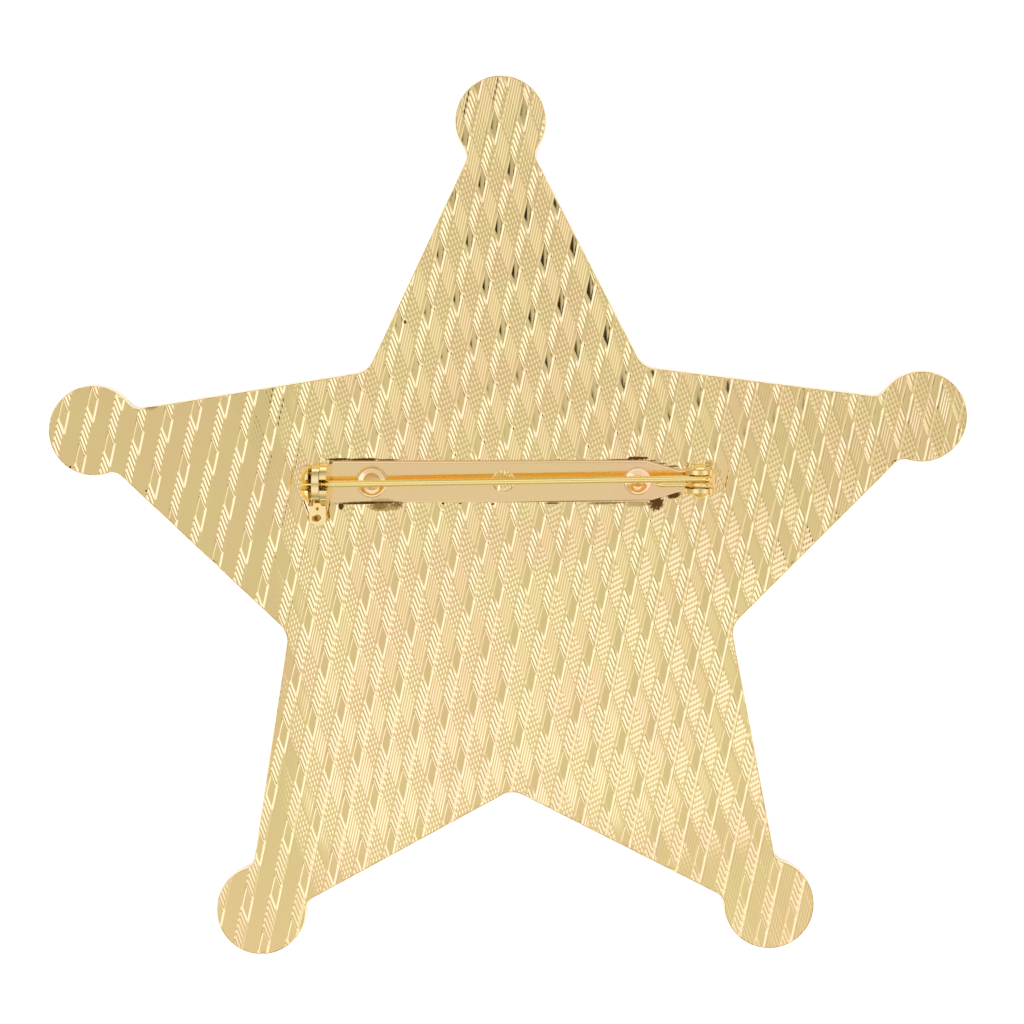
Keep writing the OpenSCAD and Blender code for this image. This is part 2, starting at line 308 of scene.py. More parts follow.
def tornSpot():
    # an elliptical spot whose edge is torn by noise: its mask falls from 1 to 0 where
    # |(place - middle) / half| + torn (noise - 0.5) goes from 0.8 to 1.15
    inputs = [("Place", "Vector", None), ("Middle", "Vector", (0, 0, 0)), ("Half", "Vector", (1, 1, 1)),
              ("Torn", "Float", 0.5)]
    group, given, out = makeGroup("tornSpot", inputs, [("Mask", "Float")])
    away = vector(group, "SUBTRACT", given["Place"], given["Middle"])
    reach = vector(group, "LENGTH", vector(group, "DIVIDE", away, given["Half"]))
    grain = noise(group, given["Place"], 4500.0, 5.0, 0.65)
    ragged = calc(group, "MULTIPLY_ADD", grain, given["Torn"], reach)
    centred = calc(group, "MULTIPLY_ADD", given["Torn"], -0.5, ragged)
    group.links.new(mapped(group, centred, 0.8, 1.15, 1.0, 0.0), out["Mask"])
    return group


def gildedTone():
    # the gilding: patches a shade redder or yellower, and a slightly uneven sheen
    redder, yellower = (1.0, 0.955, 0.95, 1), (0.98, 1.0, 0.93, 1)
    inputs = [("Place", "Vector", None), ("Colour", "Color", (1, 1, 1, 1)), ("Sheen", "Float", 0.06)]
    group, given, out = makeGroup("gilding", inputs, [("Colour", "Color"), ("Sheen", "Float")])
    patches = mapped(group, noise(group, given["Place"], 140.0, 3.0, 0.6), 0.38, 0.62)
    shade = fed(group, "ShaderNodeMix", dict(data_type="RGBA"), i0=patches, i6=redder, i7=yellower).outputs[2]
    toned = fed(group, "ShaderNodeMix", dict(data_type="RGBA", blend_type="MULTIPLY"), i0=1.0,
                i6=given["Colour"], i7=shade)
    group.links.new(toned.outputs[2], out["Colour"])
    uneven = mapped(group, noise(group, given["Place"], 900.0, 2.0, 0.6), 0.3, 0.7, 0.85, 1.25)
    group.links.new(calc(group, "MULTIPLY", given["Sheen"], uneven), out["Sheen"])
    return group


def wipeMarks():
    # long shallow wipe marks: noise drawn out along x, as a height for a bump
    inputs = [("Place", "Vector", None), ("Along", "Vector", (60, 9000, 60))]
    group, given, out = makeGroup("wipeMarks", inputs, [("Height", "Float")])
    drawn = vector(group, "MULTIPLY", given["Place"], given["Along"])
    group.links.new(mapped(group, noise(group, drawn, 1.0, 2.0, 0.5), 0.35, 0.65), out["Height"])
    return group


# Each gold has its colour and roughness, and the height of its wipe marks in metres.
gold = dict(
    plate=dict(colour=(1.0, 0.785, 0.375), sheen=0.06),
    bar=dict(colour=(1.0, 0.735, 0.4), sheen=0.09, marks=2e-7),
    hinge=dict(colour=(1.0, 0.79, 0.33), sheen=0.2),
    wire=dict(colour=(1.0, 0.785, 0.29), sheen=0.16),
    catch=dict(colour=(0.99, 0.78, 0.35), sheen=0.18))
# the tones and roughness of the stains, and of the painted shade and painted reflection
stainAndShadeTone = dict(brown=(0.14, 0.064, 0.014, 1), olive=(0.4, 0.24, 0.05, 1), orange=(0.62, 0.3, 0.05, 1))
stainAndShadeRough = 0.45

# Solder soot and specks round the bar, and painted shade in the crease along the bar's edges, charted:
# middle, half length and half height (mm), how torn the edge is, and strength. Those on the plate reach only
# stainAndShadeReach from its back, so its front is clean.
stainAndShadeReach = 0.7
# On the plate: the long thin brown lines in the crease along the bar's upper and lower edges are painted
# shade; the olive patches and blobs at the bar's ends are solder soot, and the specks farther off are dirt.
plateSootAndShade = dict(
    brown=[(-13.9, 8.44, 1.1, 0.1, 1.6, 1), (-11.9, 8.38, 1.3, 0.12, 1.5, 1),
           (-9.9, 8.33, 0.9, 0.07, 1.5, 0.9), (3.6, 8.02, 3.6, 0.05, 0.9, 0.9),
           (10.9, 8.12, 1.0, 0.13, 2.4, 1), (9.4, 8.02, 1.2, 0.06, 1.2, 0.9),
           (12.1, 7.9, 0.4, 0.06, 1.2, 0.8), (12.9, 7.66, 0.4, 0.06, 1.2, 0.8),
           (13.8, 7.4, 0.5, 0.06, 1.2, 0.9), (-11.6, 4.74, 2.8, 0.08, 1.2, 1),
           (-13.83, 4.52, 0.24, 0.3, 0.8, 1), (-10.6, 4.5, 0.6, 0.26, 2.4, 0.9),
           (-9.2, 4.56, 0.45, 0.2, 2.6, 0.9), (-5.33, 4.62, 0.14, 0.09, 1, 1),
           (-3.9, 4.6, 0.1, 0.08, 1, 1), (-1.2, 4.52, 0.12, 0.1, 1, 1), (3.7, 4.5, 0.6, 0.08, 1.6, 0.9),
           (8.6, 4.44, 1.5, 0.06, 1.5, 0.9), (12.35, 4.42, 0.6, 0.62, 2.2, 1),
           (13.75, 5.08, 0.6, 0.36, 1.8, 1), (-8.2, 19.72, 0.12, 0.17, 0.8, 1),
           (-36.36, 8.17, 0.09, 0.11, 0.8, 1), (-30.05, 6.08, 0.09, 0.09, 0.8, 1),
           (-29.8, 13.05, 0.3, 0.1, 1.2, 0.9)],
    olive=[(-10.2, 4.45, 1.4, 0.38, 2, 0.75), (10.9, 4.34, 1.1, 0.25, 1.6, 0.6),
           (7.8, 4.45, 1.2, 0.15, 2, 0.6), (-29.6, 13.1, 0.6, 0.3, 0.8, 0.6)])
# On the bar: the long brown lines along its lower edge are painted shade; the blob at its left end is solder
# soot, and the olive patch is a speck.
barSootAndShade = dict(
    brown=[(-11.5, 4.84, 2.7, 0.08, 0.8, 1), (4.0, 4.66, 9.5, 0.035, 1.4, 0.8),
           (-14.6, 8.2, 0.22, 0.16, 1, 0.8)],
    olive=[(-10.4, 5.0, 0.9, 0.16, 1.5, 0.5)])
# In the catch lever's dimple: a painted orange reflection with painted brown shade in its middle.
catchShadeAndReflection = dict(
    orange=[(-15.83, 3.6, 0.34, 0.27, 0.5, 1)],
    brown=[(-15.8, 3.62, 0.16, 0.2, 1.2, 0.7)])


def goldMaterial(name, colour, sheen, marks=0.0, stainsAndShade=None, height=0.0, deep=1000.0):
    # stains and painted shade lie within deep of z = height, and by default at any height
    material = bpy.data.materials.new(name)
    material.use_nodes = True
    tree = material.node_tree
    shader = tree.nodes["Principled BSDF"]
    place = tree.nodes.new("ShaderNodeTexCoord").outputs["Object"]
    toned = fed(tree, "ShaderNodeGroup", dict(node_tree=groups["tone"]), Place=place, Colour=(*colour, 1),
                Sheen=sheen)
    colourNow, sheenNow = toned.outputs["Colour"], toned.outputs["Sheen"]
    # each spot lays its tone and roughness over the gold: stains, and painted shade and painted reflection
    for tone, spots in (stainsAndShade or {}).items():
        mask = 0.0
        for x, y, halfX, halfY, ragged, strength in spots:
            spot = fed(tree, "ShaderNodeGroup", dict(node_tree=groups["spot"]), Place=place, Torn=ragged,
                       Middle=(x * mm, y * mm, height * mm), Half=(halfX * mm, halfY * mm, deep * mm))
            weak = calc(tree, "MULTIPLY", spot.outputs["Mask"], float(strength))
            mask = calc(tree, "MAXIMUM", weak, mask)
        colourNow = fed(tree, "ShaderNodeMix", dict(data_type="RGBA"), i0=mask, i6=colourNow,
                        i7=stainAndShadeTone[tone]).outputs[2]
        sheenNow = fed(tree, "ShaderNodeMix", i0=mask, i2=sheenNow, i3=stainAndShadeRough).outputs[0]
    tree.links.new(colourNow, shader.inputs["Base Color"])
    tree.links.new(sheenNow, shader.inputs["Roughness"])
    shader.inputs["Metallic"].default_value = 1
    if marks:
        drawn = fed(tree, "ShaderNodeGroup", dict(node_tree=groups["marks"]), Place=place).outputs["Height"]
        bump = fed(tree, "ShaderNodeBump", Strength=1.0, Distance=marks, Height=drawn)
        tree.links.new(bump.outputs["Normal"], shader.inputs["Normal"])
    return material


# The star: its outline in arcs and lines, as five turned copies of one arm

star = dict(width=76.2, thick=1.2, ballD=7.48, halfAngle=26.2, pastBall=2.69, cornerR=1.8, neckR=1.0,
            rim=0.1, inset=0.004)


def starOutline():
    # one arm points along x: a ball tip, a neck arc, a straight side and a corner arc, then its mirror image
    ballR = star["ballD"] / 2
    ballAt = (star["width"] / 2 - ballR) / cos(radians(18))
    point = ballAt + star["pastBall"]  # where the arm's two sides would meet
    half, corner = radians(star["halfAngle"]), radians(36)
    u = point * tan(half) / (tan(half) + tan(corner))
    root = np.array([u, u * tan(corner)])
    along, out = np.array([cos(half), -sin(half)]), np.array([sin(half), cos(half)])
    ray = np.array([cos(corner), sin(corner)])
    cornerAt = ray * (star["cornerR"] + root @ out) / (ray @ out)
    start = root + star["neckR"] * out - [ballAt, 0]
    s = start @ along
    back = s + sqrt(s * s - start @ start + (ballR + star["neckR"]) ** 2)
    neckAt = root + star["neckR"] * out - back * along
    touch = atan2(neckAt[1], neckAt[0] - ballAt) * 180 / pi
    sideOut = 90 - star["halfAngle"]
    ball, ballN = arc((ballAt, 0), ballR, 0, touch, 30)
    neck, neckN = arc(neckAt, star["neckR"], touch + 180, sideOut + 180, 8)
    side = np.linspace(neck[-1], cornerAt - star["cornerR"] * out, 24)[1:-1]
    inner, innerN = arc(cornerAt, star["cornerR"], sideOut + 180, 216, 8)
    upper = np.vstack([ball, neck[1:], side, inner])
    upperN = np.vstack([ballN, -neckN[1:], np.repeat(out[None], len(side), 0), -innerN])
    lower, lowerN = upper[::-1] * [1, -1], upperN[::-1] * [1, -1]
    arm, armN = np.vstack([lower[1:], upper[1:]]), np.vstack([lowerN[1:], upperN[1:]])
    turns = [turned("Z", 90 + 72 * k)[:2, :2] for k in range(5)]
    normal = np.vstack([armN @ t.T for t in turns])
    return np.vstack([arm @ t.T for t in turns]) - star["inset"] * normal, normal


# Two families of slanting ridges cover the back. Each counts its cells from start at the star's centre, one
# for each pitch (mm) along its heading (degrees), with a slight bend in x2, xy and y2. In 96ths of a cell:
# the plain stretch between two bands of ridges, the feet of the band's two walls, and each ridge's rising
# flank as its middle, width and height (mm). Depth is the band's (mm), step the height at its first foot,
# and lean the slope in degrees at the plain stretch's two ends. The second family also has a low lip on the
# band's second wall.
shares = 96
families = [
    dict(start=0.2298, pitch=2.126343, heading=-13.31073, bend=(6.42e-5, 5.4e-6, -7.1e-6),
         plain=(90.5, 119.3), foot=(127.8, 182.5), depth=0.058, step=-0.0085, lean=(1.5, -2.1),
         rising=[(38.5 + 9.7 * k, 4.6, 0.0165) for k in range(5)]),
    dict(start=-0.6256, pitch=2.640739, heading=19.45882, bend=(-6.66e-5, -3.11e-5, 1.7e-5),
         plain=(53.4, 84), foot=(93.7, 143.5), depth=0.035, step=0, lean=(0.9, -2.1),
         rising=[(0.6 + 10.05 * k, 5.6, 0.0327) for k in range(5)], lip=(87.4, 89.8, 0.014))]
# How far the ridges are lowered: both where the families cross, and the first one towards the left arm and
# the lower tips, over a stretch in mm from an x or y. Towards the left arm the second is lowered more at a
# crossing.
lowered = dict(first=0.15, second=0.7, secondLeft=0.95, left=0.9, tips=0.4, leftFrom=-11, leftOver=13,
               tipsFrom=-20, tipsOver=8)


def cellTerms(family):
    # the shares of 1, x, y, x2, xy and y2 in a family's count
    turn = radians(family["heading"])
    return family["start"], cos(turn) / family["pitch"], sin(turn) / family["pitch"], *family["bend"]


def cellAt(family, x, y):
    c = cellTerms(family)
    return c[0] + c[1] * x + c[2] * y + c[3] * x * x + c[4] * x * y + c[5] * y * y


def pointAt(a, b):
    # the (x, y) where the families count a and b, by Newton's rule
    first, second = cellTerms(families[0]), cellTerms(families[1])
    x, y = np.zeros_like(a), np.zeros_like(a)
    for _ in range(5):
        ax, ay = first[1] + 2 * first[3] * x + first[4] * y, first[2] + first[4] * x + 2 * first[5] * y
        bx, by = second[1] + 2 * second[3] * x + second[4] * y, second[2] + second[4] * x + 2 * second[5] * y
        da, db = a - cellAt(families[0], x, y), b - cellAt(families[1], x, y)
        det = ax * by - ay * bx
        x, y = x + (da * by - db * ay) / det, y + (db * ax - da * bx) / det
    return np.stack([x, y], 1)


def reliefRows(family):
    # one cell as its places and, for each, five measures that run straight from place to place: the ridge's
    # height, the band's depth, its share (0 on the plain stretch), how far it lowers the other family's
    # ridges, and the plain stretch's hollow, whose slope goes from tan(left) to tan(right)
    low, high = family["plain"]
    start, end = family["foot"]
    depth = family["depth"]
    left, right = np.tan(np.radians(family["lean"]))
    wide = (high - low) / shares * family["pitch"]
    wall = high + 1.5  # the band's second wall begins here in full, a little past the plain stretch
    rows = [(start, family["step"], depth, 1, 0.5, 0), (end, 0, depth, 1, 1, 0),
            (wall, 0, depth * (wall - high) / (start - high), 1, 0.5, 0)]
    for s in np.linspace(0, 1, 6):
        hollow = wide * ((left + right) / 2 - left * s - (right - left) * s * s / 2)
        rows.append((low + s * (high - low), 0, 0, 0, 0.5 * (s == 1), hollow))
    if "lip" in family:
        at, top, height = family["lip"]
        part = depth * (at - high) / (start - high)
        rows += [(at, 0, part, 1, 0.9, 0), (top, height, part, 1, 0.9, 0)]
    for middle, width, height in family["rising"]:
        rows += [(middle - width / 2, 0, depth, 1, 1, 0), (middle + width / 2, height, depth, 1, 1, 0)]
    rows = np.array(rows)
    rows[:, 0] = (rows[:, 0] - low) % shares + low
    rows = rows[np.argsort(rows[:, 0])]
    rows = np.vstack([rows, rows[:1] + [shares, 0, 0, 0, 0, 0]])
    return rows[:, 0] / shares, rows[:, 1:]


def smoothStep(value):
    # 3 s2 - 2 s3, with s held between 0 and 1
    s = np.clip(value, 0, 1)
    return s * s * (3 - 2 * s)


def reliefAt(points):
    # z = thick - max(depth1, depth2) + hollow1 (1 - share2) + hollow2 (1 - share1) + ridge1 fade1
    #     + ridge2 fade2
    x, y = points.T
    parts = []
    for family in families:
        place, columns = reliefRows(family)
        at = (cellAt(family, x, y) - place[0]) % 1 + place[0]
        parts.append([np.interp(at, place, column) for column in columns.T])
    (ridge1, depth1, share1, lower1, hollow1), (ridge2, depth2, share2, lower2, hollow2) = parts
    left = smoothStep((lowered["leftFrom"] - x) / lowered["leftOver"])
    tips = smoothStep((lowered["tipsFrom"] - y) / lowered["tipsOver"])
    fade1 = (1 - lowered["left"] * left) * (1 - lowered["tips"] * tips) * (1 - lowered["first"] * lower2)
    most = lowered["second"] + (lowered["secondLeft"] - lowered["second"]) * left
    fade2 = 1 - most * (lower1 + (share1 - lower1) * left)
    z = star["thick"] - np.maximum(depth1, depth2) + hollow1 * (1 - share2) + hollow2 * (1 - share1)
    return z + ridge1 * fade1 + ridge2 * fade2


def reliefSurface(edge):
    # the back within the closed edge, on a lattice whose lines are the places of both families in every cell
    lines = []
    for family in families:
        place = cellAt(family, *edge.T)
        cells = np.arange(np.floor(place.min()) - 1, np.ceil(place.max()) + 1)
        lines.append((cells[:, None] + reliefRows(family)[0][:-1]).ravel())
    a, b = np.meshgrid(*lines, indexing="ij")
    points = pointAt(a.ravel(), b.ravel())
    within = inside(points, [edge])
    index = np.arange(a.size).reshape(a.shape)
    pairs = np.vstack([np.stack([index[:-1], index[1:]], -1).reshape(-1, 2),
                       np.stack([index[:, :-1], index[:, 1:]], -1).reshape(-1, 2)])
    pairs = pairs[within[pairs].any(1)]
    used = np.unique(pairs)
    number = np.zeros(a.size, int)
    number[used] = np.arange(len(used))
    flat, faces = filled([edge], points[used], number[pairs])
    print("lattice", len(flat), "points", len(faces), "triangles")
    keep = np.unique(faces)
    number = np.zeros(len(flat), int)
    number[keep] = np.arange(len(keep))
    return np.c_[flat, reliefAt(flat)][keep], number[faces]


def borderOf(count, faces):
    # the numbers, out of count, of the points on edges that only one triangle has
    ends = np.sort(np.vstack([faces[:, [0, 1]], faces[:, [1, 2]], faces[:, [2, 0]]]), 1)
    code, uses = np.unique(ends[:, 0] * count + ends[:, 1], return_counts=True)
    return np.unique(np.concatenate([code[uses == 1] // count, code[uses == 1] % count]))


def facetRidges(mesh):
    # the ridges keep flat facets; the plain diamonds, the rim and the front are smooth
    centre, facing = np.zeros(len(mesh.polygons) * 3), np.zeros(len(mesh.polygons) * 3)
    mesh.polygons.foreach_get("center", centre)
    mesh.polygons.foreach_get("normal", facing)
    x, y = centre.reshape(-1, 3)[:, :2].T / mm
    back = facing.reshape(-1, 3)[:, 2] > 0.6
    plain = back.copy()
    for family in families:
        low, high = family["plain"]
        plain &= (cellAt(family, x, y) * shares - low) % shares < high - low
    mesh.polygons.foreach_set("use_smooth", plain | ~back)


def buildStar():
    outline, normal = starOutline()
    edge = outline - star["rim"] * normal
    top, faces = reliefSurface(edge)
    # the rim is a quarter circle above and one below: inset = rim - rim sin t, z = rim cos t from its centre
    rim, thick = star["rim"], star["thick"]
    turn = np.radians([22, 45, 67, 90, 90, 60, 30, 0])
    insets = rim - rim * np.sin(turn)
    heights = np.concatenate([thick - rim + rim * np.cos(turn[:4]), rim - rim * np.cos(turn[4:])])
    rows = np.stack([level(outline - i * normal, z) for i, z in zip(insets, heights)])
    ring = top[borderOf(len(top), faces)]
    strip = zipped(ring, rows[0], loopDistance(ring[:, :2], edge), loopDistance(edge, edge))
    front, frontFaces = filled([rows[-1][:, :2]])
    chunks = [(top, [faces]), strip, gridOf(rows), (level(front, heights[-1]), [frontFaces])]
    piece = addPiece("star_plate", meshOf("star_plate", chunks, plateGold), "badge", sharp=0)
    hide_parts("star_and_pin_bar")
    facetRidges(piece.data)


# The pin bar, its two raised rings and the hole in its middle

bar = dict(y=6.4, turn=-0.8, width=3.48, thick=0.5, neckWidth=1.9, taperFar=4.35, taperNear=1.75,
           round=0.15, wider=0.07, border=0.02, tilt=0.075)
barRings = [dict(x=-11.2, d=2.7, hollow=1.4), dict(x=10.85, d=2.35, hollow=0.95)]
ringForm = dict(height=0.2, round=0.14, crest=0.04, foot=0.02, floor=-0.02, sink=0.07)
barHole = dict(x=-0.25, d=1.8, round=0.05)


def cornered(corners, count=6):
    # a closed outline through (x, y, radius) corners, and its outward normals. Corners run anticlockwise
    corners = np.array(corners, float)
    points, normals = [], []
    for before, (x, y, r), after in zip(np.roll(corners, 1, 0), corners, np.roll(corners, -1, 0)):
        here = np.array([x, y])
        into, away = here - before[:2], after[:2] - here
        into, away = into / hypot(*into), away / hypot(*away)
        bend = atan2(into[0] * away[1] - into[1] * away[0], into @ away)
        sign = 1 if bend > 0 else -1
        outX, outY = into[1], -into[0]
        centre = here - into * (r * tan(abs(bend) / 2)) - sign * r * np.array([outX, outY])
        t = np.linspace(0, bend, count)
        swing = np.stack([outX * np.cos(t) - outY * np.sin(t), outX * np.sin(t) + outY * np.cos(t)], 1)
        points.append(centre + sign * r * swing)
        normals.append(swing)
    return np.vstack(points), np.vstack(normals)


def barTop(y):
    # z = thick + tilt y: the bar sits a little higher along its upper edge
    return bar["thick"] + bar["tilt"] * np.asarray(y, float)


def barOutline():
    # half of it from the catch to the hinge, as (x, y, radius) corners, and its mirror image
    left = catch["bandW"] / 2 + catch["domedGap"] + catch["domedT"]
    right = catch["bandW"] / 2 + gap["side"] + catch["flatT"]
    padL, padHalf = hinge["earR"] + hinge["padRim"], earOut + hinge["padRim"]
    w, foot, neck = bar["width"] / 2, catch["footW"] / 2, bar["neckWidth"] / 2
    footEnd, padStart = catch["x"] + right, hinge["x"] - padL
    half = [(catch["x"] - left, foot, 0.3), (footEnd - 0.1, foot, 0.1), (footEnd, w, 0.26),
            (hinge["x"] - bar["taperFar"], w, 0.6), (hinge["x"] - bar["taperNear"], neck, 0.4),
            (padStart, neck, 0.05), (padStart + 0.12, padHalf, 0.26),
            (hinge["x"] + padL, padHalf, hinge["padCorner"])]
    return cornered([(x, -y, r) for x, y, r in half] + half[::-1])


def raisedRing(ring):
    # a quarter circle up to the crest, a straight slope into the hollow, and a shallow dish, set on the bar
    r, top, into = ring["d"] / 2, ringForm["height"], ring["hollow"] / 2 + ringForm["foot"]
    crest = r - ringForm["round"] - ringForm["crest"]
    turns, slope = np.radians(np.linspace(0, 90, 10)), np.linspace(0, 1, 7)[1:]
    profile = [(r + ringForm["foot"], 0)]
    profile += [(r - ringForm["round"] + ringForm["round"] * cos(t), top * sin(t)) for t in turns]
    profile += [(crest + (into - crest) * k, top * (1 - 0.95 * k)) for k in slope]
    dish = (0.93, 0.8, 0.6, 0.4, 0.2, 0)
    profile += [(into * k, ringForm["floor"] - ringForm["sink"] * (1 - k * k)) for k in dish]
    points, faces = lathe(profile)
    points = points + [ring["x"], 0, 0]
    points[:, 2] += barTop(points[:, 1])
    return (points, faces), circle() * (r + ringForm["foot"]) + [ring["x"], 0]


def boredHole():
    # the bore's wall with a round at its top, and its circles at the top and at the underside
    r, edge, thick = barHole["d"] / 2, barHole["round"], bar["thick"]
    profile = [(r + edge, 0), (r + 0.3 * edge, -0.3 * edge), (r, -edge), (r, edge - thick), (r, -thick)]
    points, faces = lathe(profile)
    points = points + [barHole["x"], 0, 0]
    low = points[:, 2] < 0.01 - thick
    points[:, 2] = np.where(low, 0, points[:, 2] + barTop(points[:, 1]))
    return (points, faces), circle() * (r + edge) + [barHole["x"], 0], circle() * r + [barHole["x"], 0]


def buildBar():
    outline, normal = barOutline()
    # the top's edge is a quarter circle, wider on the upper side, with a narrow flat border inside it
    e = (bar["round"] + bar["wider"] * normal[:, 1])[:, None]
    border = outline - (e + bar["border"]) * normal
    rows = [np.c_[border, barTop(border[:, 1])]]
    for turn in np.radians(np.arange(90, -1, -10)):
        row = outline - (e - e * cos(turn)) * normal
        rows.append(np.c_[row, barTop(row[:, 1]) - (e - e * sin(turn))[:, 0]])
    rows.append(level(outline, 0))
    chunks, holes = [gridOf(np.stack(rows))], []
    for ring in barRings:
        chunk, hole = raisedRing(ring)
        chunks.append(chunk)
        holes.append(hole)
    bore, upperHole, lowerHole = boredHole()
    flat, faces = filled([border] + holes + [upperHole])
    chunks += [bore, (np.c_[flat, barTop(flat[:, 1])], [faces])]
    flat, faces = filled([outline, lowerHole])
    chunks.append((level(flat, 0), [faces]))
    mesh = meshOf("pin_bar", [onBar(c) for c in chunks], barGold)
    addPiece("pin_bar", mesh, "badge", sharp=14)


# Hinge: ears, rivet and the wire wound round it

hinge = dict(x=15.93, height=1.4, earT=0.36, earR=1.2, sunk=0.2, padRim=0.12, padCorner=0.45, rivetD=0.95,
             headD=1.6, headH=0.4, round=0.06)
wire = dict(d=0.5, shank=0.56, point=2.9, tip=0.16, sharpen=2.4, neck=1.5, past=1.35, coil=276, lean=0.025,
            tailEnd=12.25)
earIn = wire["d"] + gap["seat"] + gap["side"]
earOut = earIn + hinge["earT"]
alongX, alongZ = [2, 0, 1], [0, 1, 2]  # the two orders for a slab


def slab(outline, low, high, order):
    # a closed outline (u, v) carried from w = low to w = high, as a closed solid: order takes x, y and z from
    # u, v and w
    flat, faces = filled([outline])
    sides = np.stack([level(outline, w)[:, order] for w in (low, high)])
    return solid([gridOf(sides)] + [(level(flat, w)[:, order], [faces]) for w in (low, high)])


def box(low, high):
    (x0, y0, z0), (x1, y1, z1) = low, high
    return slab(np.array([(y0, z0), (y1, z0), (y1, z1), (y0, z1)]), x0, x1, alongX)


def rod(r, low, high, count=64):
    # a cylinder along x
    return placed(solid([lathe([(0, low), (r, low), (r, high), (0, high)], count)]), turned("Y", 90))


def buildEars():
    # each ear is a half circle over a straight foot that is sunk into the bar
    r, h, through = hinge["earR"], hinge["height"] + hinge["sunk"], 1.2
    t = np.radians(np.linspace(0, 180, 40))
    outline = np.vstack([np.c_[r * np.cos(t), r * np.sin(t)], [(-r, -h), (r, -h)]])
    alongY = turned("Z", 90)
    bore = atHinge(placed(rod(hinge["rivetD"] / 2 + gap["seat"], -through, through, 48), alongY))
    for name, low, high in (("upper", earIn, earOut), ("lower", -earOut, -earIn)):
        ear = atHinge(placed(slab(outline, low, high, alongX), alongY))
        carved("hinge_ear_" + name, [ear], [bore], "badge", hingeGold, "gold_plate", hinge["round"])


def buildRivet():
    # its head is a cap of a sphere, (R sin t, height - R + R cos t), and both ends are alike
    headR, headH = hinge["headD"] / 2, hinge["headH"]
    domeR = (headR**2 + headH**2) / (2 * headH)
    at = earOut + gap["seat"]
    turns = np.linspace(0, asin(headR / domeR) * 0.94, 12)
    profile = [(domeR * sin(t), at + headH - domeR + domeR * cos(t)) for t in turns]
    profile += [(headR, at + 0.03), (headR - 0.02, at), (hinge["rivetD"] / 2, at)]
    profile += [(r, -z) for r, z in profile[::-1]]
    chunk = atHinge(placed(lathe(profile, 72), turned("X", 90)))
    piece = addPiece("rivet", meshOf("rivet", [chunk], hingeGold), "badge", sharp=35)
    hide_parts("hinge_rivet")


def turnPath(start, end, y, count=72):
    # (R cos t, y - lean cos t, R sin t) round the rivet's axis, so that the turns run on like a coil
    mean = hinge["rivetD"] / 2 + gap["running"] + wire["d"] / 2
    t = np.radians(np.linspace(start, end, count))
    return np.c_[mean * np.cos(t), y - wire["lean"] * np.cos(t), mean * np.sin(t)], mean


def addWire(name, path, radii, turnY, turn, body):
    # a wire whose two ends are cut with a small round, turned about the middle of its coil
    ends = np.array([0.55, 0.85])
    radii[:2] *= ends
    radii[-2:] *= ends[::-1]
    chunk = atHinge(placed(tube(path - [0, turnY, 0], radii, (0, 1, 0)), turn, (0, turnY, 0)))
    return addPiece(name, meshOf(name, [chunk], wireGold), body, sharp=60)


def buildWire():
    turnY = wire["d"] / 2 + gap["seat"]
    coil, mean = turnPath(90 - wire["coil"], 90, turnY)
    # the pin aims at the catch's axis: it leaves its turn's top on a tangent, pitched and turned sideways
    reach, rise = hinge["x"] - catch["x"], catch["height"] - hinge["height"]
    aim = hypot(reach, rise)
    pitch = asin(mean / aim) * 180 / pi - atan(rise / reach) * 180 / pi
    yaw = atan((turnY - catch["y"]) / reach) * 180 / pi
    length = sqrt(aim**2 - mean**2) + wire["past"]
    taper = length - wire["point"]
    along = np.concatenate([np.linspace(0.05, taper, 40), np.linspace(taper, length, 24)[1:]])
    stem = np.c_[-along, np.full(len(along), turnY), np.full(len(along), mean)]
    # its radius widens over the neck and shrinks as s**sharpen over the point
    r = np.interp(along, [0, wire["neck"]], [wire["d"] / 2, wire["shank"] / 2])
    s = np.clip((along - length + wire["point"]) / wire["point"], 0, 1)
    r = r + (wire["tip"] / 2 - wire["shank"] / 2) * s ** wire["sharpen"]
    radii = np.concatenate([np.full(len(coil), wire["d"] / 2), r])
    turn = turned("Z", yaw) @ turned("Y", -pitch)
    piece = addWire("pin_wire", np.vstack([coil, stem]), radii, turnY, turn, "pin")
    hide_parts("pin_stem")
    # the tail leaves its turn's bottom and dips until it lies on the bar
    tailL = hinge["x"] - wire["tailEnd"]
    dip = asin((hinge["height"] - mean - wire["d"] / 2 - gap["seat"]) / tailL) * 180 / pi
    coil, mean = turnPath(-90, -90 + wire["coil"], -turnY)
    along = np.linspace(tailL, 0.05, 16)
    tail = np.c_[-along, np.full(len(along), -turnY), np.full(len(along), -mean)]
    radii = np.full(len(tail) + len(coil), wire["d"] / 2)
    turn = turned("Y", -dip)
    piece = addWire("tail_wire", np.vstack([tail, coil]), radii, -turnY, turn, "badge")
    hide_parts("spring_tail")


# Catch: two fixed cheeks and the band that turns between them, along x, with their axis at z = 0

catch = dict(x=-15.62, y=-0.15, height=1.7, cheekR=1.68, flatT=0.56, domedT=0.9, domedGap=0.26, footW=2.7,
             sunk=0.2, slot=0.92, bandR=1.55, bandW=0.6, hubR=0.98, hubL=0.06, boreL=0.3, channelR=0.46,
             mouth=162, lever=200, leverL=2.9, leverT=0.4, clear=0.15, endR=0.7, dimple=0.56, holeD=0.3,
             holeAt=2.1, flatRound=0.06, domedRound=0.05, bandRound=0.04)
flatIn = catch["bandW"] / 2 + gap["side"]
domedIn = catch["bandW"] / 2 + catch["domedGap"]
beyond = 3  # half the length of a cut that goes right through


def cheekFoot(low, high):
    # sunk into the bar, and centred on it
    half, bottom = catch["footW"] / 2, -catch["height"] - catch["sunk"]
    return box((low, -half - catch["y"], bottom), (high, half - catch["y"], -catch["height"] / 2))


